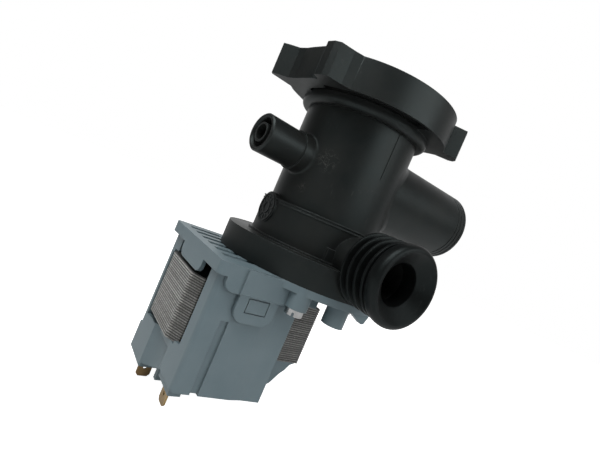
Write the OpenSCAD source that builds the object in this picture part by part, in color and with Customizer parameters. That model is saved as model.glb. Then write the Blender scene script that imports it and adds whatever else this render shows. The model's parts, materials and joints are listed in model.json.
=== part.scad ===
// Drain pump with lint filter housing, in millimetres.
// The origin lies on the filter tube's axis, on the joint face between volute and motor.
// +Z runs along the tube to the filter cap, +X along the inlet, -Y along the outlet.

/* [Volute and tube] */
// Outer radius of the volute disc
disc_r = 40.6; // [38:0.2:46]
// Height of the volute disc
disc_h = 10.8; // [8:0.2:14]
// Outer radius of the pump chamber, the tube's foot
base_r = 29.8; // [28.5:0.1:32]
// Height of the parting line where chamber and tube are welded
parting_z = 27.7; // [26:0.1:32]
// Outer radius of the filter tube
tube_r = 27; // [26:0.1:28.4]
// Wall of the tube and chamber
tube_wall = 3; // [2:0.1:3.5]
// Outer radius of the collar under the ring
collar_r = 31; // [30.5:0.1:32]
// Height of the collar's lower edge
collar_z = 72.8; // [70:0.1:72.9]
// Radius of the mouth that the cap's plug fits
mouth_r = 27.5; // [26.5:0.1:28.5]

/* [Front ring] */
// Outer radius of the front ring
ring_r = 38.7; // [37.5:0.1:42]
// Wall of the front ring
ring_wall = 1.5; // [1.3:0.1:2.5]
// Height of the ring's back face
ring_z = 77; // [75:0.2:80]
// Length of the ring
ring_h = 13.7; // [11:0.1:18]
// Height of the web between collar and ring
web_z = 82; // [80.5:0.1:83]
// Thickness of the web
web_h = 2; // [1.6:0.1:2.4]
// Number of bayonet lugs
lug_count = 3; // [2:1:4]
// Direction of the first lug in degrees
lug_angle = 204.5; // [200:0.5:210]

/* [Inlet] */
// Outer radius of the inlet tube
inlet_r = 18; // [15:0.1:19]
// Bore radius of the inlet tube
inlet_bore_r = 15.5; // [12:0.1:16]
// Distance of the inlet's end from the tube's axis
inlet_end = 71; // [60:0.5:85]
// Height of the inlet's axis
inlet_z = 49.3; // [47:0.1:51]
// Sideways offset of the inlet's axis
inlet_offset = -5; // [-6:0.1:0]

/* [Outlet] */
// Height of the outlet's axis
outlet_z = 15.8; // [15.8:0.1:17]
// Sideways offset of the outlet's axis
outlet_x = 1; // [-2:0.1:4]
// Bore radius of the outlet
outlet_bore_r = 8.6; // [7:0.1:9]
// Outer radius of the hard outlet pipe
outlet_pipe_r = 10.4; // [9.6:0.1:11]
// Distance of the hard outlet pipe's end from the axis
outlet_pipe_end = 50; // [48:0.5:52]
// Length of the rubber sleeve's lip behind its last rib
lip_length = 6.05; // [5.5:0.05:9]
// Outer radius of the sleeve's ribs
rib_r = 15.6; // [14.5:0.1:15.7]
// Distance between two ribs
rib_pitch = 4.15; // [3.8:0.05:4.2]

/* [Side port] */
// Outer radius of the side port
port_r = 8.2; // [7:0.1:9]
// Distance of the side port's end from the axis
port_end = 49.1; // [44:0.1:54]
// Height of the side port's axis
port_z = 49.5; // [46:0.1:54]
// Direction of the side port in degrees
port_angle = 185; // [180:1:190]
// Outer radius of the nipple inside the side port
nipple_r = 4.2; // [3:0.1:4.6]

/* [Motor] */
// Offset of the rotor's axis from the tube's axis along X
rotor_x = -5; // [-6:0.1:-4]
// Offset of the rotor's axis from the tube's axis along Y
rotor_y = 6; // [5:0.1:7]
// Step from the motor housing out to the cover's skirt
cover_step = 2; // [1.9:0.1:3]
// Thickness of the motor cover's plate
cover_plate = 3; // [2.5:0.1:3.4]
// Thickness of skirts, latches and panels of the cover
skirt_wall = 1.7; // [1.2:0.05:1.8]
// Left side of the motor housing
box_left = -52; // [-52.2:0.1:-51.9]
// Right side of the motor housing
box_right = -12.5; // [-14:0.5:-12]
// Distance from the core to the outside of the housing's front wall
front_room = 14; // [13.9:0.1:14.2]
// Lower side of the motor housing
box_bottom = -52.5; // [-54:0.5:-52]
// Wall of the motor housing
box_wall = 1.8; // [1.4:0.1:1.9]

/* [Stator and coils] */
// Height of the core's upper face
core_top = -12; // [-12.5:0.1:-11.5]
// Thickness of the laminated core
core_h = 28; // [26:0.5:28]
// Left end of the core
core_left = -54; // [-54:0.1:-52.5]
// Right end of the core's arms
core_right = 10; // [9:0.5:12]
// Half the width of the core
core_half = 19; // [18:0.1:19]
// Half the distance between the core's arms
slot_half = 7; // [6:0.1:7]
// Radius of the pole bore
pole_r = 12.2; // [12.1:0.1:12.6]
// Thickness of the coil winding
winding_t = 3; // [2:0.1:3.5]
// Wall of the coil former
bobbin_t = 1; // [0.8:0.1:1.2]

/* [Rotor] */
// Radius of the shaft
shaft_r = 1.5; // [1.2:0.1:1.6]
// Radius of the magnet
magnet_r = 10.2; // [9:0.1:10.6]
// Outer radius of the rotor can
can_r = 11.8; // [11.6:0.1:11.9]
// Wall of the rotor can
can_wall = 0.8; // [0.6:0.1:0.9]
// Radius of the impeller over its blades
impeller_r = 17; // [14:0.1:18]
// Number of impeller blades
blade_count = 4; // [3:1:6]

/* [Filter] */
// Clearance between the filter basket and the tube, per side
basket_gap = 1.6; // [1:0.1:4]
// Height of the basket's lower end
basket_z = 32; // [30:0.5:44]
// Number of bars of the basket
bar_count = 12; // [8:1:16]
// Height of the cap's grip above its disc
grip_h = 5.5; // [4:0.5:9]

/* [Fits] */
// Running clearance on the shaft, per side
shaft_gap = 0.03; // [0.02:0.01:0.08]
// Clearance of the cap's plug in the mouth, per side
plug_gap = 0.3; // [0.2:0.05:0.4]
// Clearance between seated parts
seat_gap = 0.1; // [0.05:0.05:0.2]
// Clearance between the back coil and the housing's wall
coil_gap = 0.2; // [0.1:0.05:0.5]

/* [Hidden] */
$fn = 72;
eps = 0.02;
black = [0.12, 0.125, 0.125];
dull_black = [0.16, 0.16, 0.16];
grey = [0.42, 0.48, 0.51];
dark_grey = [0.30, 0.34, 0.36];
steel = [0.72, 0.73, 0.74];
core_steel = [0.45, 0.42, 0.39];
brass = [0.78, 0.60, 0.30];
copper = [0.72, 0.40, 0.22];
bore_r = tube_r - tube_wall;
chamber_r = base_r - tube_wall;
ring_top = ring_z + ring_h;
core_bottom = core_top - core_h;
box_front = rotor_y - core_half - front_room;
box_back = rotor_y + core_half + bobbin_t + winding_t + coil_gap + box_wall;
cover_left = box_left - cover_step;
cover_front = box_front - cover_step;
cover_back = box_back + cover_step;
basket_r = bore_r - basket_gap;
weld_z = parting_z - 0.9;
badge_r = 7.25;
badge_z = 22.4;
badge_angle = 177;
port_root_end = 31.5;
inlet_root_end = 31;
port_chamfer = 0.5;
catch_gap = 0.35;
cup_depth = 10;
cup_r = port_r - 2;
seam_angle = 268.5;
screw_ring_r = 36.2;
screw_angles = [239.5, 350, 102];
screw_shank_r = 1.55;
screw_head_h = 2.7;
boss_r = 4.7;
boss_z = -9.3;
peg_x = -0.7;
peg_y = -35;
peg_r = 4.7;
peg_z = -11.2;
corner_r = 2.5;
front_step_x = -27;
groove_x = [box_left + 7.6, box_left + 11];
pocket_pitch = 8.2;
latch_block_out = 1;
plug_boss_r = 25.4;
plug_boss_h = 2.6;
seal_r = 1.4;
seal_ring_r = plug_boss_r + seal_r + 0.05;
can_bottom = -44;
bearing_r = 3.5;
bearing_h = 4;
magnet_z = -38;
magnet_h = 32;
magnet_bore_r = 3;
flange_t = 0.6;
washer_t = 0.35;
core_hub_top = magnet_z + magnet_h + flange_t + 0.8;
shaft_top = 14;
plate_z = -4;
eye_r = 11;
intake_z = 24.4;
intake_h = 2;
impeller_z = 1.8;
hub_r = 6.8;
hub_top = 18;
dog_z = 2.2;
dog_h = 4.2;
dog_room_r = 5.1;
arm_y = core_half - slot_half;
core_chamfer_y = 5.8;
coil_x = [-38.5, -20];
cheek_t = 1.2;
latch_x = [-42.2, -24.6];
latch_z = [-20.7, -8];
window_x = [-38, -28.5];
window_z = [-16.6, -10.6];
shroud_x = [box_left, box_left + 9];
shroud_y = [box_back - 20, box_back];
shroud_z = -63.5;
shroud_wall = 1.2;
low_z = box_bottom - 0.8;
floor_z = box_bottom + box_wall;
blade_w = 6.3;
blade_t = 0.8;
block_z = -55;
pillar_x = [box_left + 1.9, box_left + 7.4];
bridge_top = floor_z + 1.9;
front_block_y = [box_front + 3, box_front + 17];
front_blade_x = box_left + 4;
back_blade_x = box_left + 4.5;
front_blade_y = front_block_y[0] + 8.75;
back_blade_y = shroud_y[0] + 4.1;
sleeve_start = disc_r + seat_gap;
first_rib = sleeve_start + 1.3;
bead_start = first_rib + 3 * rib_pitch + 1.4;
sleeve_end = bead_start + lip_length;
cap_z = web_z + web_h + seat_gap;
collar_round = 2.8;
collar_top = 78;
cap_r = ring_r - ring_wall - 0.6;
plug_z = 74;
basket_top = plug_z - 2;
snap_r = basket_r - 2.8;

function polar(r, a) = [r * cos(a), r * sin(a)];

// A straight box between two corners
module span(x, y, z) {
    translate([x[0], y[0], z[0]])
        cube([x[1] - x[0], y[1] - y[0], z[1] - z[0]]);
}

// A tube that stands on the height z
module tube(r_out, r_in, z, h) {
    translate([0, 0, z])
        difference() {
            cylinder(r = r_out, h = h);
            translate([0, 0, -1])
                cylinder(r = r_in, h = h + 2);
        }
}

// Children turned so that their Z axis runs along the direction a in the XY plane
module lying(a) {
    rotate([0, 0, a])
        rotate([0, 90, 0])
            children();
}

module at_rotor() {
    translate([rotor_x, rotor_y, 0])
        children();
}

module at_screws() {
    for (a = screw_angles)
        translate([screw_ring_r * cos(a), screw_ring_r * sin(a), 0])
            children();
}

// A flat plate with two rounded lower corners, drawn in x and z
module tongue_shape(x, z, r) {
    square_w = x[1] - x[0];
    translate([x[0], z[0] + r])
        square([square_w, z[1] - z[0] - r]);
    translate([x[0] + r, z[0]])
        square([square_w - 2 * r, r + eps]);
    for (cx = [x[0] + r, x[1] - r])
        translate([cx, z[0] + r])
            circle(r = r);
}

// Children drawn in x and z become a plate between y and y + t
module upright(y, t) {
    translate([0, y + t, 0])
        rotate([90, 0, 0])
            linear_extrude(height = t)
                children();
}

// Children drawn in y and z become a plate between x and x + t
module sideways(x, t) {
    translate([x, 0, 0])
        rotate([90, 0, 90])
            linear_extrude(height = t)
                children();
}

// One bayonet lug with a steep side and a ramp back to the ring
module lug() {
    linear_extrude(height = ring_h)
        polygon([polar(ring_r - 2, -8), polar(45.4, -5), polar(46.4, 0), polar(46, 3.5),
            polar(41.2, 9), polar(ring_r - 0.6, 15), polar(ring_r - 2, 15)]);
}

// The stop beside the first lug, with the wall that links both
module stop_horn() {
    linear_extrude(height = ring_h)
        polygon([polar(35, 153), polar(38.5, 158), polar(48.6, 163), polar(49.3, 165.2),
            polar(46.5, 168), polar(43, 171.5), polar(41.6, 177), polar(41.3, 183),
            polar(41.6, 194), polar(41, 200), polar(34, 196), polar(34, 165)]);
}

// A pie slice between two radii, centred on the direction a
module slice(r_in, r_out, a, width, z, h) {
    steps = 4;
    arc_out = [for (i = [0:steps]) polar(r_out, a - width / 2 + i * width / steps)];
    arc_in = [for (i = [0:steps]) polar(r_in, a + width / 2 - i * width / steps)];
    translate([0, 0, z])
        linear_extrude(height = h)
            polygon(concat(arc_out, arc_in));
}

// Round plain badge; it crosses the parting line
module badge() {
    translate([0, 0, badge_z])
        lying(badge_angle)
            cylinder(r = badge_r, h = base_r + 0.1);
}

module volute_outside() {
    cylinder(r = disc_r, h = disc_h);
    cylinder(r = base_r + 1.5, h = disc_h + 0.9);
    cylinder(r = base_r, h = weld_z);
    translate([0, 0, weld_z - 0.9])
        cylinder(r = base_r + 0.3, h = 0.5);
    translate([outlet_x, 0, outlet_z])
        lying(-90)
            cylinder(r = outlet_pipe_r, h = outlet_pipe_end);
    // Pad beside the outlet
    intersection() {
        cylinder(r = base_r + 1.2, h = 17.2);
        span([-12.5, outlet_x], [-40, -20], [0, 18]);
    }
    badge();
}

module volute() {
    color(black)
        difference() {
            volute_outside();
            translate([0, 0, weld_z])
                cylinder(r = disc_r, h = 20);
            // Chamber and seal step
            translate([0, 0, -1])
                cylinder(r = chamber_r, h = weld_z + 2);
            translate([0, 0, -1])
                cylinder(r = seal_ring_r + seal_r + 0.05, h = 4);
            translate([outlet_x, 0, outlet_z])
                lying(-90)
                    translate([0, 0, 20])
                        cylinder(r = outlet_bore_r, h = outlet_pipe_end);
            at_screws()
                translate([0, 0, -1])
                    cylinder(r = screw_shank_r, h = 9.5);
            // Channel under the disc, with a boss left round each screw
            difference() {
                tube(disc_r - 2.2, base_r, -1, disc_h - 1.2);
                at_screws()
                    translate([0, 0, -2])
                        cylinder(r = 4.2, h = disc_h + 2);
            }
        }
}

module tube_outside() {
    // Welding flange
    translate([0, 0, weld_z])
        cylinder(r = base_r, h = parting_z - weld_z);
    translate([0, 0, parting_z - 0.5])
        cylinder(r = base_r + 0.3, h = 0.5);
    translate([0, 0, weld_z])
        cylinder(r = tube_r, h = plug_z - 1 - weld_z);
    translate([0, inlet_offset, inlet_z])
        lying(0) {
            cylinder(r = inlet_r, h = inlet_end);
            cylinder(r1 = inlet_r + 0.9, r2 = inlet_r, h = inlet_root_end);
        }
    translate([0, 0, port_z])
        lying(port_angle) {
            cylinder(r = port_r + 0.6, h = port_root_end);
            cylinder(r = port_r, h = port_end - port_chamfer);
            translate([0, 0, port_end - port_chamfer])
                cylinder(r1 = port_r, r2 = port_r - port_chamfer, h = port_chamfer);
        }
    badge();
}

module tube_inside() {
    translate([0, 0, weld_z - 20])
        cylinder(r = disc_r, h = 20);
    translate([0, 0, weld_z - 1])
        cylinder(r = bore_r, h = plug_z);
    translate([0, inlet_offset, inlet_z])
        lying(0)
            cylinder(r = inlet_bore_r, h = inlet_end + 1);
    translate([0, 0, port_z])
        lying(port_angle) {
            translate([0, 0, port_end - cup_depth])
                cylinder(r = cup_r, h = cup_depth + 1);
            translate([0, 0, port_end - 1])
                cylinder(r1 = cup_r, r2 = cup_r + 1, h = 2);
        }
    // Mould seam down the tube's front
    rotate([0, 0, seam_angle])
        span([tube_r - 0.4, tube_r + 1], [-0.15, 0.15], [52, plug_z]);
    // Fine grooves round the inlet's end
    for (x = [2.2, 4.6, 7])
        translate([inlet_end - x, inlet_offset, inlet_z])
            lying(0)
                tube(inlet_r + 1, inlet_r - 0.35, 0, 0.7);
}

module filter_tube() {
    color(black) {
        difference() {
            tube_outside();
            tube_inside();
        }
        // Foot inside the chamber, on the intake plate
        tube(chamber_r - seat_gap, bore_r, intake_z + intake_h, weld_z - intake_z - intake_h + eps);
        // Blind nipple inside the side port
        translate([0, 0, port_z])
            lying(port_angle)
                difference() {
                    translate([0, 0, port_end - cup_depth - eps])
                        cylinder(r = nipple_r, h = cup_depth + eps);
                    translate([0, 0, port_end - 8])
                        cylinder(r = nipple_r - 0.8, h = 9);
                }
        // Two guides for the basket's key
        for (x = [-2.6, 1.4])
            span([x, x + 1.2], [basket_r + 0.2, bore_r + 1], [basket_z + 2, collar_z - 9]);
    }
}

// The collar's half section, with a rounded lower edge and a neck up to the web
module collar_profile() {
    neck_r = collar_r - 0.7;
    edge = [for (a = [0:15:90]) [collar_r - collar_round + collar_round * sin(a),
        collar_z + collar_round - collar_round * cos(a)]];
    polygon(concat([[tube_r, collar_z]], edge,
        [[collar_r, collar_top - 0.3], [neck_r, collar_top], [neck_r, web_z + eps], [tube_r, web_z + eps]]));
}

// The ring is cut back on its far side, behind the horn and behind the second lug
module ring_recesses() {
    translate([0, 0, ring_z - 1])
        linear_extrude(height = ring_h + 2) {
            polygon([polar(50, 160), polar(38.4, 157.5), polar(37.4, 153.5), polar(36.5, 150.5),
                polar(35.5, 147.5), polar(34, 142), polar(32.7, 136), polar(32.2, 128),
                polar(32.2, 118), polar(34, 110), polar(45, 104), polar(60, 130)]);
            polygon([polar(50, -30.4), polar(41.3, -29.8), polar(37.6, -29.3), polar(35.2, -25.2),
                polar(33.8, -21.6), polar(32.7, -16), polar(32.2, -8), polar(32.2, 2),
                polar(34, 9), polar(45, 15), polar(60, -8)]);
        }
}

// The back of the ring is an open channel, but for the parts beside the horn and the second lug
module ring_channel() {
    difference() {
        tube(ring_r - ring_wall, collar_r - 1, ring_z - 1, web_z - ring_z + 1);
        translate([0, 0, ring_z - 2])
            linear_extrude(height = web_z) {
                polygon([polar(28, 166), polar(35.6, 181), polar(40.9, 193), polar(48, 203),
                    polar(70, 150), polar(50, 100), polar(25, 100)]);
                polygon([polar(25, -84), polar(50, -84), polar(60, -50), polar(50, -15),
                    polar(25, -15)]);
            }
    }
}

module front_ring() {
    color(black)
        difference() {
            union() {
                rotate_extrude()
                    collar_profile();
                difference() {
                    translate([0, 0, ring_z])
                        cylinder(r = ring_r, h = ring_h);
                    ring_channel();
                }
                for (i = [0:lug_count - 1])
                    rotate([0, 0, lug_angle + i * 360 / lug_count])
                        translate([0, 0, ring_z])
                            lug();
                translate([0, 0, ring_z])
                    stop_horn();
            }
            translate([0, 0, collar_z - 1])
                cylinder(r = tube_r, h = plug_z - collar_z);
            translate([0, 0, plug_z - 1])
                cylinder(r = mouth_r, h = 20);
            translate([0, 0, web_z + web_h])
                cylinder(r = ring_r - ring_wall, h = ring_h);
            ring_recesses();
        }
}

// The sleeve's half section: radius across, distance from the axis up
module sleeve_profile() {
    neck_r = outlet_pipe_r + 2.8;
    bead_r = rib_r - 0.6;
    ribs = [for (i = [0:3]) let (s = first_rib + i * rib_pitch)
        [[neck_r, s - 1.2], [rib_r, s - 0.5], [rib_r, s + 0.5], [neck_r, s + 1.2]]];
    rib_points = [for (rib = ribs, p = rib) p];
    bead_points = [for (a = [0:15:90]) [bead_r + 1.2 * sin(a), bead_start + 3 - 3 * cos(a)]];
    lip_points = [for (a = [0:15:75]) [14.2 + (bead_r - 13) * cos(a), sleeve_end - 2.4 + 2.4 * sin(a)]];
    polygon(concat(
        [[outlet_pipe_r, sleeve_start], [neck_r, sleeve_start]],
        rib_points,
        [[bead_r - 0.7, bead_start - 0.3]],
        bead_points,
        lip_points,
        [[13.9, sleeve_end], [outlet_bore_r, sleeve_end - 4.6],
            [outlet_bore_r, outlet_pipe_end], [outlet_pipe_r, outlet_pipe_end]]));
}

module outlet_sleeve() {
    color(dull_black)
        translate([outlet_x, 0, outlet_z])
            lying(-90)
                rotate_extrude()
                    sleeve_profile();
}

module intake_plate() {
    color(black)
        difference() {
            translate([0, 0, intake_z])
                cylinder(r = chamber_r, h = intake_h);
            at_rotor()
                translate([0, 0, intake_z - 1])
                    cylinder(r = eye_r, h = intake_h + 2);
        }
}

module pump_seal() {
    color(dull_black)
        translate([0, 0, seal_r])
            rotate_extrude()
                translate([seal_ring_r, 0])
                    circle(r = seal_r);
}

module impeller() {
    roof_z = dog_z + dog_h + 0.2;
    color(black)
        at_rotor()
            difference() {
                union() {
                    tube(hub_r, dog_room_r, impeller_z, roof_z - impeller_z + eps);
                    translate([0, 0, roof_z])
                        cylinder(r = hub_r, h = hub_top - roof_z);
                    slice(3.1, hub_r - 0.5, 180, 40, impeller_z, roof_z - impeller_z + eps);
                    for (i = [0:blade_count - 1])
                        rotate([0, 0, 45 + i * 360 / blade_count])
                            span([hub_r - 0.5, impeller_r], [-0.9, 0.9], [3, hub_top - 1]);
                }
                translate([0, 0, impeller_z - 1])
                    cylinder(r = shaft_r + shaft_gap, h = 14);
            }
}

module drive_dog() {
    color(dull_black)
        at_rotor()
            difference() {
                union() {
                    translate([0, 0, dog_z])
                        cylinder(r = 2.9, h = dog_h);
                    slice(2.4, dog_room_r - 0.2, 0, 40, dog_z, dog_h);
                }
                translate([0, 0, dog_z - 1])
                    cylinder(r = shaft_r, h = dog_h + 2);
            }
}

module rotor_shaft() {
    color(steel)
        at_rotor()
            translate([0, 0, can_bottom + 1.2])
                cylinder(r = shaft_r, h = shaft_top - can_bottom - 1.2);
}

module rotor_magnet() {
    color(dark_grey)
        at_rotor()
            tube(magnet_r, magnet_bore_r, magnet_z, magnet_h);
}

module rotor_core() {
    color(black)
        at_rotor()
            difference() {
                union() {
                    translate([0, 0, magnet_z - flange_t])
                        cylinder(r = magnet_bore_r, h = core_hub_top - magnet_z + flange_t);
                    for (z = [magnet_z - flange_t, magnet_z + magnet_h])
                        translate([0, 0, z])
                            cylinder(r = magnet_r - 1.7, h = flange_t);
                }
                translate([0, 0, magnet_z - 2])
                    cylinder(r = shaft_r, h = magnet_h + 8);
            }
}

module thrust_washers() {
    color(steel)
        at_rotor()
            for (z = [magnet_z - flange_t - washer_t, core_hub_top])
                tube(magnet_bore_r + 0.1, shaft_r, z, washer_t);
}

module bearing_front() {
    color(dark_grey)
        at_rotor()
            tube(bearing_r, shaft_r + shaft_gap, plate_z, bearing_h + 1);
}

module bearing_rear() {
    color(dark_grey)
        at_rotor()
            tube(bearing_r, shaft_r + shaft_gap, can_bottom + 1, bearing_h);
}

module bearing_plate() {
    color(grey)
        at_rotor()
            difference() {
                union() {
                    translate([0, 0, plate_z])
                        cylinder(r = can_r - can_wall, h = 4.4);
                    translate([0, 0, plate_z])
                        cylinder(r = 5.2, h = 5);
                }
                translate([0, 0, plate_z - 1])
                    cylinder(r = bearing_r, h = 8);
            }
}

module rotor_can() {
    color(dark_grey)
        at_rotor() {
            difference() {
                union() {
                    translate([0, 0, can_bottom])
                        cylinder(r = can_r, h = plug_boss_h - can_bottom);
                    translate([0, 0, plug_boss_h - 1])
                        cylinder(r = 14, h = 1);
                }
                translate([0, 0, can_bottom + 1])
                    cylinder(r = can_r - can_wall, h = 60);
            }
            tube(5, bearing_r, can_bottom + 1 - eps, bearing_h + eps);
        }
}

// A plan outline with two rounded corners on its left side
module rounded_left(x, y, r) {
    translate([x[0] + r, y[0]])
        square([x[1] - x[0] - r, y[1] - y[0]]);
    translate([x[0], y[0] + r])
        square([r + eps, y[1] - y[0] - 2 * r]);
    for (cy = [y[0] + r, y[1] - r])
        translate([x[0] + r, cy])
            circle(r = r);
}

// The latch loop with its window, drawn in x and z
module latch_shape() {
    difference() {
        tongue_shape(latch_x, latch_z, 5);
        translate([window_x[0], window_z[0]])
            square([window_x[1] - window_x[0], window_z[1] - window_z[0]]);
    }
}

// Front panel with its latch loop and the raised block above it
module front_panel() {
    upright(cover_front, skirt_wall) {
        tongue_shape([-49.8, -36], [-10.3, -3], 4);
        latch_shape();
    }
    sideways(-42.9, 20.4)
        polygon([[cover_front - latch_block_out, -0.4], [cover_front - latch_block_out, -9.5],
            [cover_front - latch_block_out + 0.8, -10.3], [cover_front + skirt_wall, -10.3],
            [cover_front + skirt_wall, -0.4]]);
}

module cover_plate_solid() {
    translate([0, 0, -cover_plate]) {
        cylinder(r = disc_r, h = cover_plate);
        linear_extrude(height = cover_plate)
            rounded_left([cover_left, -14], [cover_front, cover_back], corner_r);
    }
    cylinder(r = plug_boss_r, h = plug_boss_h);
    // Skirt round the left half, with its tongue
    translate([0, 0, -5])
        linear_extrude(height = 5)
            difference() {
                rounded_left([cover_left, -24], [cover_front, cover_back], corner_r);
                rounded_left([cover_left + skirt_wall, 0],
                    [cover_front + skirt_wall, cover_back - skirt_wall], corner_r - 1);
            }
    sideways(cover_left, skirt_wall)
        tongue_shape([-13, 13], [core_top + 1.3, -4], 4);
    front_panel();
    translate([0, cover_front + cover_back, 0])
        mirror([0, 1, 0])
            front_panel();
    at_screws()
        translate([0, 0, boss_z])
            cylinder(r = boss_r, h = -boss_z);
    // Locating peg
    translate([peg_x, peg_y, peg_z])
        cylinder(r = peg_r, h = -peg_z);
    // Stiffening rib and wedge below the rim
    span([-9, -4], [-26, -24], [-9, -1]);
    upright(-36, 3)
        polygon([[5.5, -2], [5.5, -3.6], [14, -7.8], [15.3, -7.4], [16.4, -4.5], [16.8, -2]]);
}

module motor_cover() {
    color(grey)
        difference() {
            cover_plate_solid();
            at_rotor() {
                translate([0, 0, -cover_plate - 1])
                    cylinder(r = can_r, h = 10);
                translate([0, 0, plug_boss_h - 1])
                    cylinder(r = 14, h = 2);
            }
            at_screws()
                translate([0, 0, boss_z - 1])
                    cylinder(r = 2.1, h = 14);
            // Row of shallow pockets between the left edge and the volute
            for (i = [0:5])
                span([-49.4, -34], [22 - pocket_pitch * i, 26 - pocket_pitch * i], [-0.9, 1]);
        }
}

// Plan of the housing, its front wall stepping back at the right
module box_plan(inset) {
    rounded_left([box_left + inset, front_step_x], [box_front + inset, box_back - inset],
        corner_r - 0.5 * inset);
    polygon([[front_step_x - eps, box_front + inset], [front_step_x, box_front + inset],
        [front_step_x + 5.5, box_front + 0.8 + inset],
        [box_right - inset, box_front + 0.8 + inset],
        [box_right - inset, box_back - inset], [front_step_x - eps, box_back - inset]]);
}

// Side view of the cradle under the core's arms
module cradle_shape() {
    polygon([[box_right - 1, core_bottom - seat_gap], [8.5, core_bottom - seat_gap],
        [6.2, core_bottom - 1.2], [4.6, core_bottom - 4], [2.6, core_bottom - 6],
        [0.8, core_bottom - 8.6], [-0.6, core_bottom - 10.8], [-3.5, low_z],
        [box_right - 1, low_z]]);
}

module box_solid() {
    difference() {
        translate([0, 0, low_z])
            linear_extrude(height = -cover_plate - low_z)
                box_plan(0);
        // The underside rises a little to the left
        upright(box_front - 1, box_back - box_front + 2)
            polygon([[box_left - 1, low_z - 1], [box_right, low_z - 1], [box_right, low_z],
                [box_left - 1, box_bottom + 0.6]]);
    }
    span(shroud_x, shroud_y, [shroud_z, floor_z]);
    // Catches inside the latch windows
    for (y = [cover_front, box_back - eps])
        span([window_x[0] + catch_gap, window_x[1] - catch_gap], [y, y + 2 + eps],
            [window_z[0] + catch_gap, window_z[1] - catch_gap]);
    // Cradle under the core's arms: two cheeks and a floor
    for (y = [rotor_y - core_half, rotor_y + core_half - box_wall])
        upright(y, box_wall)
            cradle_shape();
    span([box_right - 1, -3.5], [rotor_y - core_half, rotor_y + core_half],
        [low_z, low_z + box_wall]);
    at_rotor()
        translate([0, 0, low_z])
            cylinder(r = can_r + box_wall, h = core_bottom - seat_gap - low_z);
}

module box_cuts() {
    translate([0, 0, floor_z])
        linear_extrude(height = 60)
            box_plan(box_wall);
    // Window in the left wall
    sideways(box_left - 1, box_wall + 2)
        polygon([[-18.5, -6], [20, -6], [20, -12.5], [26.6, -14], [26.6, -45.2], [17.8, -43.7],
            [14.2, -43.9], [3.8, -43.1], [0.9, -41.6], [-2, -41], [-18.5, -37.4]]);
    // Opening for the core's arms
    span([box_right - box_wall - 1, box_right + 1],
        [rotor_y - core_half - seat_gap, rotor_y + core_half + seat_gap],
        [core_bottom - seat_gap, core_top + seat_gap]);
    // Groove down the front wall
    span(groove_x, [box_front - 1, box_front + 1], [low_z - 1, -22]);
    span(groove_x, [box_front - 1, box_front + box_wall], [low_z - 1, -51.7]);
    // Shroud's inside and the openings for the terminals
    span([shroud_x[0] + shroud_wall, shroud_x[1] - shroud_wall],
        [shroud_y[0] + shroud_wall, shroud_y[1] - shroud_wall], [shroud_z - 1, floor_z + 1]);
    span([box_left + 2, box_left + 6.1], front_block_y, [low_z - 1, floor_z + 1]);
    // Seats of the rotor can and the core
    at_rotor()
        translate([0, 0, can_bottom])
            cylinder(r = can_r + seat_gap, h = -can_bottom);
    span([core_left - seat_gap, core_left + 5],
        [rotor_y - core_half - seat_gap, rotor_y + core_half + seat_gap],
        [core_bottom - seat_gap, core_top + seat_gap]);
}

module motor_housing() {
    color(grey)
        difference() {
            union() {
                difference() {
                    box_solid();
                    box_cuts();
                }
                // Thick lower part of the left wall, rising from the shroud to the front
                sideways(box_left + eps, 5)
                    polygon([[12.1, -43.1], [12.1, -62], [9, -61.3], [1, -58], [-2, -56.8],
                        [-8.2, -53], [-9.8, -51.5], [-9.8, -43.1]]);
                // Rib between the two terminals
                span([box_left + 5.5, box_left + 11], [2, 4.5], [shroud_z - 0.5, box_bottom + 1]);
            }
            // Wide shallow channel down the left wall
            translate([box_left - 18.7, 1, shroud_z - 1])
                cylinder(r = 21.7, h = -42 - shroud_z);
        }
}

// The core's outline: a yoke with two arms and a pole bore
module core_shape() {
    difference() {
        polygon([[core_left, core_chamfer_y - core_half], [core_left + 4, -core_half],
            [core_right, -core_half], [core_right, core_half], [core_left + 4, core_half],
            [core_left, core_half - core_chamfer_y]]);
        translate([-39.5, -slot_half])
            square([60, 2 * slot_half]);
        translate([rotor_x, 0])
            circle(r = pole_r);
    }
}

module stator_stack() {
    color(core_steel)
        translate([0, rotor_y, core_bottom])
            linear_extrude(height = core_h)
                core_shape();
}

// A box around one arm of the core, grown by g on each side
module arm_block(y, g, x) {
    span(x, [y - g, y + arm_y + g], [core_bottom - g, core_top + g]);
}

module bobbin(y) {
    color(dull_black)
        difference() {
            union() {
                arm_block(y, bobbin_t, coil_x);
                for (x = [coil_x[0], coil_x[1] - cheek_t])
                    arm_block(y, bobbin_t + winding_t, [x, x + cheek_t]);
            }
            arm_block(y, 0, [coil_x[0] - 1, coil_x[1] + 1]);
        }
}

module winding(y) {
    color(copper)
        difference() {
            arm_block(y, bobbin_t + winding_t, [coil_x[0] + cheek_t, coil_x[1] - cheek_t]);
            arm_block(y, bobbin_t, coil_x);
        }
}

module bobbin_front() {
    bobbin(rotor_y - core_half);
}

module bobbin_back() {
    bobbin(rotor_y + slot_half);
}

module winding_front() {
    winding(rotor_y - core_half);
}

module winding_back() {
    winding(rotor_y + slot_half);
}

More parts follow.
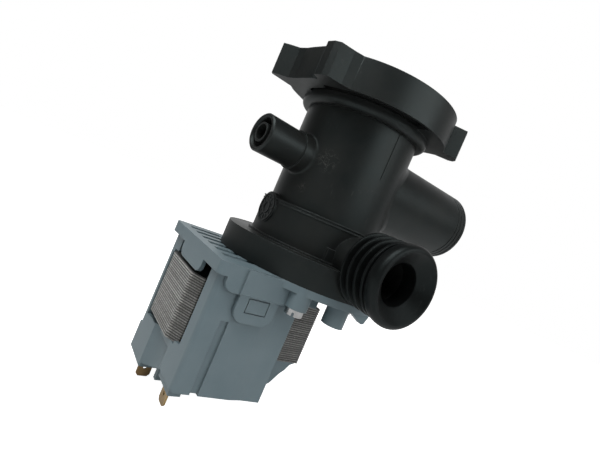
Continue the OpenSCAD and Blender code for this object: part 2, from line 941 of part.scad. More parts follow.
module terminal_holder() {
    color(grey)
        difference() {
            union() {
                // Block that carries the front blade, and its neck through the floor
                span([box_left + 1, box_left + 6], front_block_y, [block_z, low_z + 0.9]);
                span([box_left + 2.1, box_left + 6],
                    [front_block_y[0] + seat_gap, front_block_y[1] - seat_gap],
                    [low_z + 0.8, bridge_top]);
                // Bridge inside the housing
                span([box_left + 5.5, box_left + 9.8],
                    [front_block_y[0] + seat_gap, box_back - 2], [floor_z, bridge_top]);
                // Pillar inside the shroud, behind the back blade
                span(pillar_x, [back_blade_y, shroud_y[0] + 13], [shroud_z + 3.5, bridge_top]);
                span(pillar_x, [shroud_y[0] + 1.6, back_blade_y + 0.1], [block_z, bridge_top]);
            }
            span([front_blade_x - blade_t / 2, front_blade_x + blade_t / 2],
                [front_blade_y - blade_w / 2 - eps, front_blade_y + blade_w / 2 + eps],
                [-60, -49.9]);
        }
}

// A blade with a hole and a chamfered end, drawn from its root down
module blade(length) {
    end_in = 1.1;
    difference() {
        rotate([90, 0, 0])
            linear_extrude(height = blade_t, center = true)
                polygon([[-blade_w / 2, 0], [-blade_w / 2, end_in - length],
                    [end_in - blade_w / 2, -length], [blade_w / 2 - end_in, -length],
                    [blade_w / 2, end_in - length], [blade_w / 2, 0]]);
        translate([0, 0, 4.2 - length])
            rotate([90, 0, 0])
                cylinder(r = 0.85, h = 3, center = true);
    }
}

module terminal_line() {
    color(brass)
        translate([back_blade_x, back_blade_y - blade_t / 2, block_z])
            blade(14.6);
}

module terminal_neutral() {
    color(brass)
        translate([front_blade_x, front_blade_y, -50])
            rotate([0, 0, 90])
                blade(13.4);
}

// Screws with slotted heads that hold the motor on the volute
module flange_screws() {
    color(steel)
        at_screws()
            difference() {
                union() {
                    translate([0, 0, boss_z])
                        cylinder(r = screw_shank_r, h = 8 - boss_z);
                    translate([0, 0, boss_z - screw_head_h])
                        cylinder(r = 3.8, h = screw_head_h);
                }
                rotate([0, 0, 52])
                    span([-4, 4], [-0.5, 0.5], [boss_z - 4, boss_z - 1.2]);
            }
}

module filter_cap() {
    color(black)
        difference() {
            union() {
                // Disc with raised rim and grip bar
                translate([0, 0, cap_z])
                    cylinder(r = cap_r, h = 3.2);
                tube(cap_r, cap_r - 2.2, cap_z, ring_top - cap_z - 0.4);
                span([-cap_r + 1, cap_r - 1], [-4, 4], [cap_z, cap_z + 3.2 + grip_h]);
                // Plug with the seal's groove
                translate([0, 0, plug_z + seat_gap])
                    cylinder(r = mouth_r - plug_gap, h = cap_z - plug_z);
            }
            tube(mouth_r + 1, mouth_r - 2.7, plug_z + 1.4, 2.8);
            // Hollow plug
            translate([0, 0, plug_z])
                cylinder(r = snap_r - 2.6, h = cap_z - plug_z - 0.5);
            // Room for the basket's head and the lip that holds it
            translate([0, 0, plug_z - 1])
                cylinder(r = snap_r + 0.5, h = 4);
            translate([0, 0, plug_z + 1.6])
                cylinder(r = snap_r + 1.5, h = 2.4);
            // Finger hollows beside the grip
            for (y = [-1, 1])
                translate([0, y * 14, cap_z + 1.6])
                    cylinder(r = 8, h = 10);
        }
}

module cap_seal() {
    color(dull_black)
        translate([0, 0, plug_z + 2.8])
            rotate_extrude()
                translate([mouth_r - 1.35, 0])
                    circle(r = 1.3);
}

// Strainer: a head ring that turns in the cap, bars and a closed lower ring
module filter_basket() {
    bar_step = 360 / bar_count;
    color(steel) {
        tube(snap_r + 0.2, snap_r - 1.2, basket_top, 5.8);
        tube(snap_r + 1.2, snap_r - 1.2, plug_z + 2, 1.8);
        tube(basket_r, snap_r - 1.2, basket_top - 4, 4.02);
        tube(basket_r, basket_r - 2, basket_z, 5);
        tube(basket_r, basket_r - 2, (basket_z + basket_top) / 2 - 2, 2);
        for (i = [0:bar_count - 1])
            rotate([0, 0, (i + 0.5) * bar_step])
                span([basket_r - 2, basket_r - 0.2], [-1, 1], [basket_z + 1, basket_top - 3]);
        // Bottom cross
        for (a = [0, 90])
            rotate([0, 0, a])
                span([1 - basket_r, basket_r - 1], [-1, 1], [basket_z, basket_z + 2]);
        // Key that runs between the tube's guides
        span([-1.1, 1.1], [basket_r - 1.5, bore_r - 0.3], [basket_z, basket_top - 1]);
    }
}

volute();
filter_tube();
front_ring();
outlet_sleeve();
intake_plate();
pump_seal();
impeller();
drive_dog();
rotor_shaft();
rotor_magnet();
rotor_core();
thrust_washers();
bearing_front();
bearing_rear();
bearing_plate();
rotor_can();
motor_cover();
motor_housing();
stator_stack();
bobbin_front();
bobbin_back();
winding_front();
winding_back();
terminal_holder();
terminal_line();
terminal_neutral();
flange_screws();
filter_cap();
cap_seal();
filter_basket();
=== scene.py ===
# Washer drain pump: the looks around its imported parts, in metres
import json
from math import asin, cos, pi, radians, sin, sqrt
import bmesh
import bpy
from mathutils import Matrix, Vector

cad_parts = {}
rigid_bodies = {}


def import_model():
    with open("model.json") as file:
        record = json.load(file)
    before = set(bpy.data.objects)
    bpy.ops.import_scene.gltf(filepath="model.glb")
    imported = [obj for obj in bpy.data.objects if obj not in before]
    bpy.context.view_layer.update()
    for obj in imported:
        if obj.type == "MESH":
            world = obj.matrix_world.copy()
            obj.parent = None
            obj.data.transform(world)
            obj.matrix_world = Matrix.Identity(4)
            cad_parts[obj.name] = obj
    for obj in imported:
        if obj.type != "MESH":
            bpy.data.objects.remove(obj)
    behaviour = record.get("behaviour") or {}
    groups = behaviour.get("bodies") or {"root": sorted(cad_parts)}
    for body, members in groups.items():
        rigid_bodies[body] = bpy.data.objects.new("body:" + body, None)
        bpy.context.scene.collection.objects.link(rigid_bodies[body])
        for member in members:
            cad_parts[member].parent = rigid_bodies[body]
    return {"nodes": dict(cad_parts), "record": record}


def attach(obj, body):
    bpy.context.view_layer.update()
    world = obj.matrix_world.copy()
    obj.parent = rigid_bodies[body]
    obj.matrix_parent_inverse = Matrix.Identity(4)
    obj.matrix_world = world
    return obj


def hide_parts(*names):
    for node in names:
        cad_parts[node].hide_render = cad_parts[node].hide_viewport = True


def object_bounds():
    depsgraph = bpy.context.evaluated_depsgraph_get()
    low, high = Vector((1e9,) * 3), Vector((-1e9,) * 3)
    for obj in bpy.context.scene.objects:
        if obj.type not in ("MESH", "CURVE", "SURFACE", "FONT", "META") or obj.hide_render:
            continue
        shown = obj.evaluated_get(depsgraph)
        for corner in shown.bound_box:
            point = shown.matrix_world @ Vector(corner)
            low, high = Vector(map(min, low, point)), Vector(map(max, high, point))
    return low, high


for leftOver in list(bpy.data.objects):
    bpy.data.objects.remove(leftOver)
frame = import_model()
cadBox = [list(corner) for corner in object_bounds()]
mm = 0.001
print("stage: frame loaded")

# Camera at the photograph's angle: nearly level, close up and rolled
camera = {"lens": 24.669, "sensor": 36, "right": (0.7667, -0.5053, 0.396), "up": (-0.3127, 0.2449, 0.9178),
          "back": (-0.5608, -0.8274, 0.0297), "place": (-0.11762, -0.15773, 0.02617)}


def makeCamera(c):
    data = bpy.data.cameras.new("camera")
    data.sensor_width = c["sensor"]
    data.lens = c["lens"]
    data.clip_start = 0.01
    data.clip_end = 10
    data.dof.use_dof = False
    eye = bpy.data.objects.new("camera", data)
    bpy.context.scene.collection.objects.link(eye)
    rows = [[c["right"][i], c["up"][i], c["back"][i], c["place"][i]] for i in range(3)]
    eye.matrix_world = Matrix(rows + [[0, 0, 0, 1]])
    bpy.context.scene.camera = eye


makeCamera(camera)
bpy.context.scene.view_settings.view_transform = "Standard"

# White studio: bright behind the pump, darker from the camera's side
studio = {"behind": 0.85, "before": 0.035, "seen": 1.0, "away": (0.66, 0.71, -0.2), "fade": (0.0, 0.95)}

# Soft boxes in metres and watts: one above, one left, one in front, and one that lifts the ring
softBoxes = {
    "topBox": {"place": (-0.25, -0.10, 0.55), "target": (0, 0, 0), "size": (0.5, 0.4), "power": 3.3},
    "leftBox": {"place": (-0.50, -0.02, 0.45), "target": (0, 0, 0.01), "size": (0.6, 0.5), "power": 1.1},
    "frontBox": {"place": (0.25, -0.55, 0.42), "target": (0, 0, 0.02), "size": (0.6, 0.4), "power": 0.8},
    "ringBox": {"place": (0.17, -0.42, 0.20), "target": (0.02, -0.03, 0.08), "size": (0.40, 0.22),
                "power": 0.75}}


def makeStudio(s):
    world = bpy.data.worlds.new("studio")
    bpy.context.scene.world = world
    world.use_nodes = True
    tree = world.node_tree
    tree.nodes.clear()
    out = tree.nodes.new("ShaderNodeOutputWorld")
    shine = tree.nodes.new("ShaderNodeBackground")
    shine.inputs["Color"].default_value = (1, 1, 1, 1)
    place = tree.nodes.new("ShaderNodeTexCoord")
    along = tree.nodes.new("ShaderNodeVectorMath")
    along.operation = "DOT_PRODUCT"
    along.inputs[1].default_value = s["away"]
    fade = tree.nodes.new("ShaderNodeMapRange")
    fade.interpolation_type = "SMOOTHSTEP"
    fade.inputs["From Min"].default_value, fade.inputs["From Max"].default_value = s["fade"]
    fade.inputs["To Min"].default_value = s["before"]
    fade.inputs["To Max"].default_value = s["behind"]
    path = tree.nodes.new("ShaderNodeLightPath")
    pick = tree.nodes.new("ShaderNodeMix")
    pick.inputs["B"].default_value = s["seen"]
    tree.links.new(place.outputs["Generated"], along.inputs[0])
    tree.links.new(along.outputs["Value"], fade.inputs["Value"])
    tree.links.new(path.outputs["Is Camera Ray"], pick.inputs["Factor"])
    tree.links.new(fade.outputs["Result"], pick.inputs["A"])
    tree.links.new(pick.outputs["Result"], shine.inputs["Strength"])
    tree.links.new(shine.outputs["Background"], out.inputs["Surface"])


def makeSoftBox(name, b):
    data = bpy.data.lights.new(name, "AREA")
    data.shape = "RECTANGLE"
    data.size, data.size_y = b["size"]
    data.energy = b["power"]
    box = bpy.data.objects.new(name, data)
    bpy.context.scene.collection.objects.link(box)
    box.location = b["place"]
    box.rotation_euler = (Vector(b["target"]) - Vector(b["place"])).to_track_quat("-Z", "Y").to_euler()


makeStudio(studio)
for boxName, box in softBoxes.items():
    makeSoftBox(boxName, box)
print("stage: studio")


# Shader groups: grain of a moulded skin, paler edges that are partly wear and partly painted highlight,
# soft blotches and scuffs
def newGroup(name, inputs, outputs):
    group = bpy.data.node_groups.new(name, "ShaderNodeTree")
    for label, value in inputs:
        socket = group.interface.new_socket(label, in_out="INPUT", socket_type="NodeSocketFloat")
        socket.default_value = value
    for label, kind in outputs:
        group.interface.new_socket(label, in_out="OUTPUT", socket_type=kind)
    return group, group.nodes.new("NodeGroupInput"), group.nodes.new("NodeGroupOutput")


def addMath(tree, operation, a, b=None, c=None):
    node = tree.nodes.new("ShaderNodeMath")
    node.operation = operation
    for i, value in enumerate((a, b, c)):
        if value is None:
            continue
        if isinstance(value, (int, float)):
            node.inputs[i].default_value = value
        else:
            tree.links.new(value, node.inputs[i])
    return node.outputs[0]


def addRange(tree, value, low, high, toLow=0.0, toHigh=1.0):
    node = tree.nodes.new("ShaderNodeMapRange")
    tree.links.new(value, node.inputs["Value"])
    for label, number in (("From Min", low), ("From Max", high), ("To Min", toLow), ("To Max", toHigh)):
        node.inputs[label].default_value = number
    return node.outputs["Result"]


def addNoise(tree, vector, scale, detail=3.0, rough=0.5):
    node = tree.nodes.new("ShaderNodeTexNoise")
    node.inputs["Detail"].default_value = detail
    node.inputs["Roughness"].default_value = rough
    if isinstance(scale, (int, float)):
        node.inputs["Scale"].default_value = scale
    else:
        tree.links.new(scale, node.inputs["Scale"])
    tree.links.new(vector, node.inputs["Vector"])
    return node.outputs["Fac"]


# Noise scales are per metre; a pair is the range of noise that counts
grainLook = {"blotchScale": 70.0, "patchScale": 45.0, "patch": (0.55, 0.70), "streakScale": 260.0,
             "streakTurn": (0.4, 0.9, 0.3), "streakStretch": (1.0, 7.0, 1.0), "streak": (0.60, 0.74)}
edgeLook = {"bend": (0.995, 0.86), "breakScale": 500.0, "breaks": (0.25, 0.55), "least": 0.35}
rubLook = {"scale": 420.0, "width": 0.022, "strength": 0.9, "fullWithin": 0.3}


def makeGrainGroup(g):
    tree, given, out = newGroup("skinGrain", [("Scale", 6000.0)],
                                [("Grain", "NodeSocketFloat"), ("Blotch", "NodeSocketFloat"),
                                 ("Scuff", "NodeSocketFloat")])
    place = tree.nodes.new("ShaderNodeTexCoord").outputs["Object"]
    fine = addNoise(tree, place, given.outputs["Scale"], 2.0)
    blotch = addNoise(tree, place, g["blotchScale"], 3.0, 0.55)
    # Scuffs are short pale streaks, few and far between
    stretch = tree.nodes.new("ShaderNodeMapping")
    stretch.inputs["Rotation"].default_value = g["streakTurn"]
    stretch.inputs["Scale"].default_value = g["streakStretch"]
    tree.links.new(place, stretch.inputs["Vector"])
    streak = addNoise(tree, stretch.outputs["Vector"], g["streakScale"], 4.0, 0.6)
    patch = addNoise(tree, place, g["patchScale"], 1.0)
    here = addMath(tree, "MULTIPLY", addRange(tree, streak, *g["streak"]),
                   addRange(tree, patch, *g["patch"]))
    tree.links.new(fine, out.inputs["Grain"])
    tree.links.new(blotch, out.inputs["Blotch"])
    tree.links.new(here, out.inputs["Scuff"])
    return tree


def makeEdgeGroup(e):
    tree, given, out = newGroup("wornAndHighlitEdges", [("Radius", 0.0004)],
                                [("Edge", "NodeSocketFloat"), ("Rounded", "NodeSocketVector")])
    rounded = tree.nodes.new("ShaderNodeBevel")
    rounded.samples = 4
    tree.links.new(given.outputs["Radius"], rounded.inputs["Radius"])
    surface = tree.nodes.new("ShaderNodeNewGeometry")
    same = tree.nodes.new("ShaderNodeVectorMath")
    same.operation = "DOT_PRODUCT"
    tree.links.new(rounded.outputs["Normal"], same.inputs[0])
    tree.links.new(surface.outputs["Normal"], same.inputs[1])
    # The edge mask marks rounded edges; their paler colour is partly wear and partly painted highlight
    bend = addRange(tree, same.outputs["Value"], *e["bend"])
    place = tree.nodes.new("ShaderNodeTexCoord").outputs["Object"]
    broken = addRange(tree, addNoise(tree, place, e["breakScale"], 2.0), *e["breaks"], e["least"], 1.0)
    tree.links.new(addMath(tree, "MULTIPLY", bend, broken), out.inputs["Edge"])
    tree.links.new(rounded.outputs["Normal"], out.inputs["Rounded"])
    return tree


skinGrain = makeGrainGroup(grainLook)
wornAndHighlitEdges = makeEdgeGroup(edgeLook)


def useGroup(tree, group, label, value):
    node = tree.nodes.new("ShaderNodeGroup")
    node.node_tree = group
    node.inputs[label].default_value = value
    return node.outputs


def mixColour(tree, factor, a, b):
    node = tree.nodes.new("ShaderNodeMix")
    node.data_type = "RGBA"
    for label, value in (("Factor", factor), ("A", a), ("B", b)):
        socket = [s for s in node.inputs if s.name == label and s.enabled][0]
        if isinstance(value, tuple):
            socket.default_value = (*value, 1)
        else:
            tree.links.new(value, socket)
    return [s for s in node.outputs if s.enabled][0]


def newMaterial(name):
    material = bpy.data.materials.new(name)
    material.use_nodes = True
    tree = material.node_tree
    return material, tree, tree.nodes["Principled BSDF"]


def addBump(tree, shader, height, normal, strength, distance):
    bump = tree.nodes.new("ShaderNodeBump")
    bump.inputs["Strength"].default_value = strength
    bump.inputs["Distance"].default_value = distance
    tree.links.new(height, bump.inputs["Height"])
    tree.links.new(normal, bump.inputs["Normal"])
    tree.links.new(bump.outputs["Normal"], shader.inputs["Normal"])


# Fine crossing scratches that fade out round a rubbed place
def rubbedPlace(tree, centre, reach, r):
    place = tree.nodes.new("ShaderNodeTexCoord").outputs["Object"]
    apart = tree.nodes.new("ShaderNodeVectorMath")
    apart.operation = "DISTANCE"
    apart.inputs[1].default_value = centre
    tree.links.new(place, apart.inputs[0])
    near = addRange(tree, apart.outputs["Value"], reach, reach * r["fullWithin"])
    thin = addMath(tree, "ABSOLUTE",
                   addMath(tree, "SUBTRACT", addNoise(tree, place, r["scale"], 3.0, 0.6), 0.5))
    return addMath(tree, "MULTIPLY", near, addRange(tree, thin, r["width"], 0.0, 0.0, r["strength"]))


# Moulded skin of plastic or rubber: grain, blotches, scuffs and paler edges, partly wear and partly painted
# highlight
def mouldedSkin(name, s):
    material, tree, shader = newMaterial(name)
    grain = useGroup(tree, skinGrain, "Scale", s["grainScale"])
    edges = useGroup(tree, wornAndHighlitEdges, "Radius", s["edgeRadius"])
    tone = addRange(tree, grain["Blotch"], 0.3, 0.7)
    colour = mixColour(tree, tone, s["dark"], s["light"])
    colour = mixColour(tree, addMath(tree, "MULTIPLY", grain["Scuff"], s["scuff"]), colour,
                       s["scuffColour"])
    for centre, reach in s.get("rubbed", ()):
        colour = mixColour(tree, rubbedPlace(tree, centre, reach, rubLook), colour, s["scuffColour"])
    # Paler edges: partly wear, partly a painted highlight along the rounded edges
    colour = mixColour(tree, addMath(tree, "MULTIPLY", edges["Edge"], s["wearAndHighlight"]), colour, s["edgeColour"])
    tree.links.new(colour, shader.inputs["Base Color"])
    rough = addRange(tree, grain["Blotch"], 0.25, 0.75, s["rough"] - 0.05, s["rough"] + 0.05)
    rough = addMath(tree, "MULTIPLY_ADD", grain["Scuff"], 0.12, rough)
    tree.links.new(rough, shader.inputs["Roughness"])
    shader.inputs["Specular IOR Level"].default_value = s["specular"]
    shader.inputs["Specular Tint"].default_value = (*s["tint"], 1)
    addBump(tree, shader, grain["Grain"], edges["Rounded"], s["bump"], 0.04 * mm)
    return material


# Metal skin: fine marks and a tarnish that gathers in blotches
def metalSkin(name, s):
    material, tree, shader = newMaterial(name)
    grain = useGroup(tree, skinGrain, "Scale", s["grainScale"])
    edges = useGroup(tree, wornAndHighlitEdges, "Radius", s["edgeRadius"])
    tone = addRange(tree, grain["Blotch"], 0.35, 0.68)
    colour = mixColour(tree, tone, s["light"], s["dark"])
    # Paler edges: partly wear, partly a painted highlight along the rounded edges
    colour = mixColour(tree, addMath(tree, "MULTIPLY", edges["Edge"], s["wearAndHighlight"]), colour, s["edgeColour"])
    tree.links.new(colour, shader.inputs["Base Color"])
    tree.links.new(addRange(tree, grain["Blotch"], 0.2, 0.8, s["rough"] - 0.1, s["rough"] + 0.12),
                   shader.inputs["Roughness"])
    shader.inputs["Metallic"].default_value = s["metallic"]
    addBump(tree, shader, grain["Grain"], edges["Rounded"], s["bump"], 0.03 * mm)
    return material


# Sheet edges of the core: each sheet has its own grey, every second one is darker, and the sides get
# painted shade
def sheetStack(name, s):
    material, tree, shader = newMaterial(name)
    grain = useGroup(tree, skinGrain, "Scale", s["grainScale"])
    edges = useGroup(tree, wornAndHighlitEdges, "Radius", s["edgeRadius"])
    place = tree.nodes.new("ShaderNodeTexCoord").outputs["Object"]
    split = tree.nodes.new("ShaderNodeSeparateXYZ")
    tree.links.new(place, split.inputs["Vector"])
    sheet = addMath(tree, "FLOOR",
                    addMath(tree, "MULTIPLY_ADD", split.outputs["Z"], 1 / s["sheet"], s["firstSheet"]))
    own = tree.nodes.new("ShaderNodeTexWhiteNoise")
    own.noise_dimensions = "1D"
    tree.links.new(sheet, own.inputs["W"])
    second = addMath(tree, "MODULO", sheet, 2.0)
    # Short cut marks along each edge
    flat = tree.nodes.new("ShaderNodeMapping")
    flat.inputs["Scale"].default_value = s["cutStretch"]
    tree.links.new(place, flat.inputs["Vector"])
    cut = addNoise(tree, flat.outputs["Vector"], s["cutScale"], 2.0)
    cutTone = addRange(tree, cut, 0.3, 0.7, 0.0, 1.0 - s["ownTone"])
    tone = addMath(tree, "MULTIPLY_ADD", own.outputs["Value"], s["ownTone"], cutTone)
    colour = mixColour(tree, tone, s["dark"], s["light"])
    colour = mixColour(tree, addRange(tree, grain["Blotch"], 0.5, 0.75, 0.0, s["rusty"]), colour, s["rust"])
    colour = mixColour(tree, addMath(tree, "MULTIPLY", second, s["secondDark"]), colour, s["gapAndSideShade"])
    # Painted shade: the cut corners and sides, away from the end face, are darkened as if in the housing's
    # shade
    side = addRange(tree, split.outputs["X"], s["endX"] + 0.3 * mm, s["endX"] + 1.2 * mm, 0.0,
                    s["paintedSideShade"])
    colour = mixColour(tree, side, colour, s["gapAndSideShade"])
    tree.links.new(colour, shader.inputs["Base Color"])
    tree.links.new(addRange(tree, cut, 0.3, 0.7, *s["rough"]), shader.inputs["Roughness"])
    shader.inputs["Metallic"].default_value = s["metallic"]
    addBump(tree, shader, cut, edges["Rounded"], s["bump"], 0.05 * mm)
    return material


finishes = {
    "housing_plastic": mouldedSkin("blackMoulding", {
        "dark": (0.0080, 0.0094, 0.0094), "light": (0.0125, 0.0125, 0.0116),
        "scuff": 0.30, "scuffColour": (0.07, 0.068, 0.064),
        "wearAndHighlight": 0.30, "edgeColour": (0.075, 0.083, 0.082), "edgeRadius": 0.0004,
        "grainScale": 7000.0, "rough": 0.42, "specular": 0.25, "tint": (0.82, 1.0, 1.0), "bump": 0.35,
        "rubbed": (((-0.0218, -0.0157, 0.0500), 0.0060), ((-0.0249, -0.0104, 0.036), 0.0028))}),
    "inner_plastic": mouldedSkin("innerMoulding", {
        "dark": (0.030, 0.030, 0.030), "light": (0.045, 0.045, 0.044),
        "scuff": 0.2, "scuffColour": (0.12, 0.12, 0.12),
        "wearAndHighlight": 0.3, "edgeColour": (0.10, 0.10, 0.10), "edgeRadius": 0.0003,
        "grainScale": 7000.0, "rough": 0.45, "specular": 0.5, "tint": (1, 1, 1), "bump": 0.3}),
    "sleeve_rubber": mouldedSkin("sleeveRubber", {
        "dark": (0.0030, 0.0036, 0.0036), "light": (0.0055, 0.0060, 0.0060),
        "scuff": 0.25, "scuffColour": (0.06, 0.06, 0.06),
        "wearAndHighlight": 0.15, "edgeColour": (0.04, 0.042, 0.042), "edgeRadius": 0.0005,
        "grainScale": 5000.0, "rough": 0.38, "specular": 0.15, "tint": (0.82, 1.0, 1.0), "bump": 0.45}),
    "motor_plastic": mouldedSkin("motorMoulding", {
        "dark": (0.106, 0.148, 0.166), "light": (0.127, 0.170, 0.187),
        "scuff": 0.20, "scuffColour": (0.22, 0.24, 0.25),
        "wearAndHighlight": 0.40, "edgeColour": (0.23, 0.27, 0.28), "edgeRadius": 0.0004,
        "grainScale": 7000.0, "rough": 0.42, "specular": 0.3, "tint": (1, 1, 1), "bump": 0.35}),
    "core_laminations": sheetStack("coreSheets", {
        "sheet": 0.0005, "dark": (0.11, 0.110, 0.105), "light": (0.56, 0.56, 0.54),
        # The darkest grey serves the set-back sheets and the painted shade on the core's sides
        "rust": (0.12, 0.100, 0.080), "gapAndSideShade": (0.022, 0.022, 0.021),
        "endX": -0.054, "firstSheet": 200.0, "ownTone": 0.35, "rusty": 0.35,
        "secondDark": 0.85, "paintedSideShade": 0.5, "cutScale": 1100.0, "cutStretch": (1.0, 1.0, 3.0),
        "grainScale": 3000.0, "edgeRadius": 0.0001, "rough": (0.36, 0.6), "metallic": 0.3, "bump": 0.5}),
    "terminal_brass": metalSkin("bladeBrass", {
        "light": (0.36, 0.25, 0.11), "dark": (0.15, 0.095, 0.045),
        "edgeColour": (0.75, 0.60, 0.34), "wearAndHighlight": 0.75, "edgeRadius": 0.0002,
        "grainScale": 5000.0, "rough": 0.36, "metallic": 1.0, "bump": 0.4}),
    "zinc_steel": metalSkin("zincedSteel", {
        "light": (0.62, 0.63, 0.63), "dark": (0.34, 0.34, 0.34),
        "edgeColour": (0.8, 0.8, 0.8), "wearAndHighlight": 0.5, "edgeRadius": 0.0003,
        "grainScale": 5000.0, "rough": 0.24, "metallic": 1.0, "bump": 0.4}),
    "magnet_ferrite": mouldedSkin("groundFerrite", {
        "dark": (0.03, 0.03, 0.033), "light": (0.055, 0.055, 0.06),
        "scuff": 0.4, "scuffColour": (0.16, 0.16, 0.17),
        "wearAndHighlight": 0.4, "edgeColour": (0.12, 0.12, 0.125), "edgeRadius": 0.0003,
        "grainScale": 3000.0, "rough": 0.5, "specular": 0.5, "tint": (1, 1, 1), "bump": 0.6}),
    "bearing_graphite": mouldedSkin("graphite", {
        "dark": (0.04, 0.04, 0.04), "light": (0.075, 0.075, 0.075),
        "scuff": 0.3, "scuffColour": (0.15, 0.15, 0.15),
        "wearAndHighlight": 0.3, "edgeColour": (0.14, 0.14, 0.14), "edgeRadius": 0.0002,
        "grainScale": 4000.0, "rough": 0.55, "specular": 0.5, "tint": (1, 1, 1), "bump": 0.5}),
    "coil_copper": metalSkin("enamelledWire", {
        "light": (0.60, 0.22, 0.09), "dark": (0.30, 0.09, 0.03),
        "edgeColour": (0.75, 0.34, 0.16), "wearAndHighlight": 0.4, "edgeRadius": 0.0003,
        "grainScale": 2500.0, "rough": 0.33, "metallic": 0.85, "bump": 0.7}),
}
print("stage: finishes")

# Painted shade: the back blade gets a darker copy of the brass than the front one, for the shade it sits in
shadedBladeBrass = metalSkin("paintedShadeBlade", {
    "light": (0.22, 0.145, 0.07), "dark": (0.09, 0.06, 0.03),
    "edgeColour": (0.55, 0.42, 0.24), "wearAndHighlight": 0.6, "edgeRadius": 0.0002,
    "grainScale": 5000.0, "rough": 0.40, "metallic": 1.0, "bump": 0.4})

slotOf = {part["node"]: part["material_slot"] for part in frame["record"]["subparts"]}
for name, node in frame["nodes"].items():
    node.data.materials.clear()
    # The back blade, terminal_line, takes the darker brass copy: painted shade
    node.data.materials.append(shadedBladeBrass if name == "terminal_line" else finishes[slotOf[name]])


# A new piece: faces outwards, smooth where asked, riding on a body with a slot's finish
def makePiece(name, bm, body, slot, smooth=False):
    bmesh.ops.recalc_face_normals(bm, faces=bm.faces)
    for face in bm.faces:
        face.smooth = smooth
    mesh = bpy.data.meshes.new(name)
    bm.to_mesh(mesh)
    bm.free()
    mesh.materials.append(finishes[slot])
    piece = bpy.data.objects.new(name, mesh)
    bpy.context.scene.collection.objects.link(piece)
    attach(piece, body)
    return piece


# Flat faces become a slab of the given height, in metres
def raiseFaces(bm, faces, height):
    raised = bmesh.ops.extrude_face_region(bm, geom=faces)["geom"]
    bmesh.ops.translate(bm, verts=[g for g in raised if isinstance(g, bmesh.types.BMVert)],
                        vec=(0, 0, height))


def edgesOf(bm, loop):
    return [edge for edge in bm.edges if edge.verts[0] in loop and edge.verts[1] in loop]


# The core's punched sheets, in millimetres; every second sheet is set back a little
core = {"left": -54.0, "right": 10.0, "half": 19.0, "chamferX": 4.0, "chamferY": 5.8, "slotEnd": -39.5,
        "slotHalf": 7.0, "poleX": -5.0, "poleRadius": 12.2, "middle": 6.0, "low": -40.0, "high": -12.0,
        "sheet": 0.5, "varnish": 0.05, "setBack": 0.17, "arcSteps": 10}


def coreOutline(c, inset):
    left, right, half = c["left"] + inset, c["right"] - inset, c["half"] - inset
    slotHalf, poleRadius = c["slotHalf"] + inset, c["poleRadius"] + inset
    lean = asin(slotHalf / poleRadius)
    turns = [lean + (pi - 2 * lean) * i / c["arcSteps"] for i in range(c["arcSteps"] + 1)]
    arc = [(c["poleX"] + poleRadius * cos(t), poleRadius * sin(t)) for t in turns]
    upper = [(right, slotHalf), (right, half), (left + c["chamferX"], half), (left, half - c["chamferY"])]
    around = [(c["slotEnd"] - inset, slotHalf)] + arc[::-1] + upper
    return around + [(x, -y) for x, y in around[::-1]]


def makeCore(c):
    bm = bmesh.new()
    count = round((c["high"] - c["low"]) / c["sheet"])
    for i in range(count):
        inset = c["setBack"] * (i % 2)
        z = c["low"] + i * c["sheet"] + c["varnish"] / 2
        corners = [bm.verts.new((x * mm, (y + c["middle"]) * mm, z * mm)) for x, y in coreOutline(c, inset)]
        raiseFaces(bm, [bm.faces.new(corners)], (c["sheet"] - c["varnish"]) * mm)
    stack = makePiece("core_sheets", bm, "pump", "core_laminations")
    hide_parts("stator_stack")


makeCore(core)
print("stage: core sheets")

# Moulded fillets where the branches leave the tube
inletFillet = {"name": "inlet_fillet", "turn": 0.0, "offset": -5.0, "z": 49.3, "branch": 18.0, "tube": 27.0,
               "along": 4.5, "around": 3.2}
portFillet = {"name": "port_fillet", "turn": 185.0, "offset": 0.0, "z": 49.5, "branch": 8.8, "tube": 27.0,
              "along": 1.2, "around": 1.3}


filletMesh = {"steps": 7, "segments": 64, "sunk": 0.02, "depth": 0.5, "margin": 0.3}


# A closed wedge swept round the joint: outer curve first, then three loops sunk in the walls
def makeFillet(f, g):
    bm = bmesh.new()
    steps, segments, sunk, depth = g["steps"], g["segments"], g["sunk"], g["depth"]
    turn = Matrix.Rotation(radians(f["turn"]), 3, "Z")

    def onTube(t, reach, below):
        widest = f["tube"] - g["margin"]
        across = max(-widest, min(widest, f["offset"] + reach * cos(t)))
        wall = f["tube"] - below
        return Vector((sqrt(max(wall * wall - across * across, 1.0)), across, f["z"] + reach * sin(t)))

    def loopPoint(k, t):
        corner = onTube(t, f["branch"] - sunk, sunk)
        start = corner + Vector((f["along"], 0, 0))
        end = onTube(t, f["branch"] + f["around"], sunk)
        if k <= steps:
            s = k / steps
            return (1 - s) ** 2 * start + 2 * s * (1 - s) * corner + s * s * end
        if k == steps + 1:
            return onTube(t, f["branch"] + f["around"], depth)
        inner = onTube(t, f["branch"] - depth, depth)
        return inner if k == steps + 2 else inner + Vector((f["along"], 0, 0))

    loops = []
    for k in range(steps + 4):
        ring = bmesh.ops.create_circle(bm, segments=segments, radius=1.0)["verts"]
        for i, vert in enumerate(ring):
            vert.co = turn @ loopPoint(k, 2 * pi * i / segments) * mm
        loops.append(edgesOf(bm, ring))
    for k in range(len(loops)):
        bmesh.ops.bridge_loops(bm, edges=loops[k] + loops[(k + 1) % len(loops)])
    for k in (0, steps):
        for edge in loops[k]:
            edge.smooth = False
    makePiece(f["name"], bm, "pump", "housing_plastic", smooth=True)


makeFillet(inletFillet, filletMesh)
makeFillet(portFillet, filletMesh)
print("stage: fillets")

# Plain relief on the round badge: a ring and short bars
badge = {"turn": 177.0, "z": 22.4, "face": 29.9, "height": 0.28, "ring": 6.2, "ringWidth": 0.5,
         "inner": 2.6, "bars": 12, "barLength": 1.7, "barWidth": 0.45, "wider": 0.3, "segments": 48,
         "sunk": 0.05}


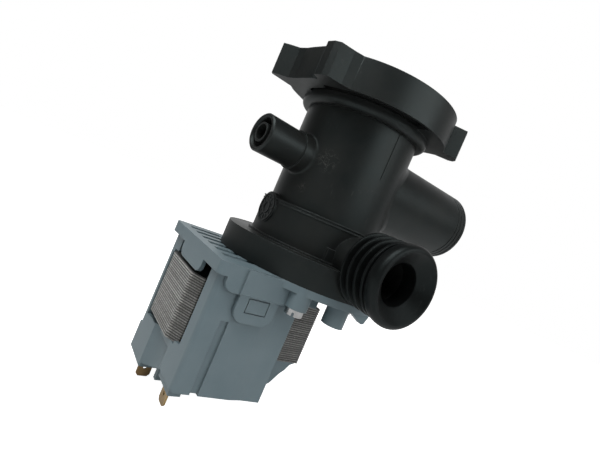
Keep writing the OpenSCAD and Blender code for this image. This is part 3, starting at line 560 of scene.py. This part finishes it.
def makeBadge(b):
    bm = bmesh.new()
    for radius in (b["ring"], b["inner"]):
        rims = []
        for side in (0.5, -0.5):
            rim = bmesh.ops.create_circle(bm, segments=b["segments"],
                                          radius=(radius + side * b["ringWidth"]) * mm)
            rims += edgesOf(bm, rim["verts"])
        raiseFaces(bm, bmesh.ops.bridge_loops(bm, edges=rims)["faces"], (b["height"] + 2 * b["sunk"]) * mm)
    for i in range(b["bars"]):
        width = b["barWidth"] + b["wider"] * (i % 3 == 0)
        turn = Matrix.Rotation(2 * pi * i / b["bars"], 4, "Z")
        place = Matrix.Translation(((b["ring"] + b["inner"]) / 2 * mm, 0, b["height"] / 2 * mm))
        size = Matrix.Diagonal((b["barLength"] * mm, width * mm, b["height"] * mm, 1))
        bmesh.ops.create_cube(bm, size=1.0, matrix=turn @ place @ size)
    onFace = Matrix.Translation(((b["face"] - b["sunk"]) * mm, 0, b["z"] * mm))
    lay = Matrix.Rotation(radians(b["turn"]), 4, "Z") @ onFace @ Matrix.Rotation(pi / 2, 4, "Y")
    bmesh.ops.transform(bm, matrix=lay, verts=bm.verts)
    makePiece("badge_relief", bm, "pump", "housing_plastic")


makeBadge(badge)
print("stage: badge relief")

# Pale floor under the lowest blade; the camera sees it as bright as the studio's wall
floorLook = {"size": 2.0, "drop": 0.5, "grey": 0.8, "rough": 0.7, "glow": 0.10, "seenGlow": 0.90}


def makeFloor(f):
    bm = bmesh.new()
    bmesh.ops.create_grid(bm, x_segments=1, y_segments=1, size=f["size"],
                          matrix=Matrix.Translation((0, 0, cadBox[0][2] - f["drop"] * mm)))
    mesh = bpy.data.meshes.new("floor")
    bm.to_mesh(mesh)
    bm.free()
    floor = bpy.data.objects.new("floor", mesh)
    bpy.context.scene.collection.objects.link(floor)
    material, tree, shader = newMaterial("paleFloor")
    shader.inputs["Base Color"].default_value = (f["grey"], f["grey"], f["grey"], 1)
    shader.inputs["Roughness"].default_value = f["rough"]
    shader.inputs["Emission Color"].default_value = (1, 1, 1, 1)
    path = tree.nodes.new("ShaderNodeLightPath").outputs["Is Camera Ray"]
    tree.links.new(addRange(tree, path, 0.0, 1.0, f["glow"], f["seenGlow"]),
                   shader.inputs["Emission Strength"])
    mesh.materials.append(material)


makeFloor(floorLook)
print("stage: floor")
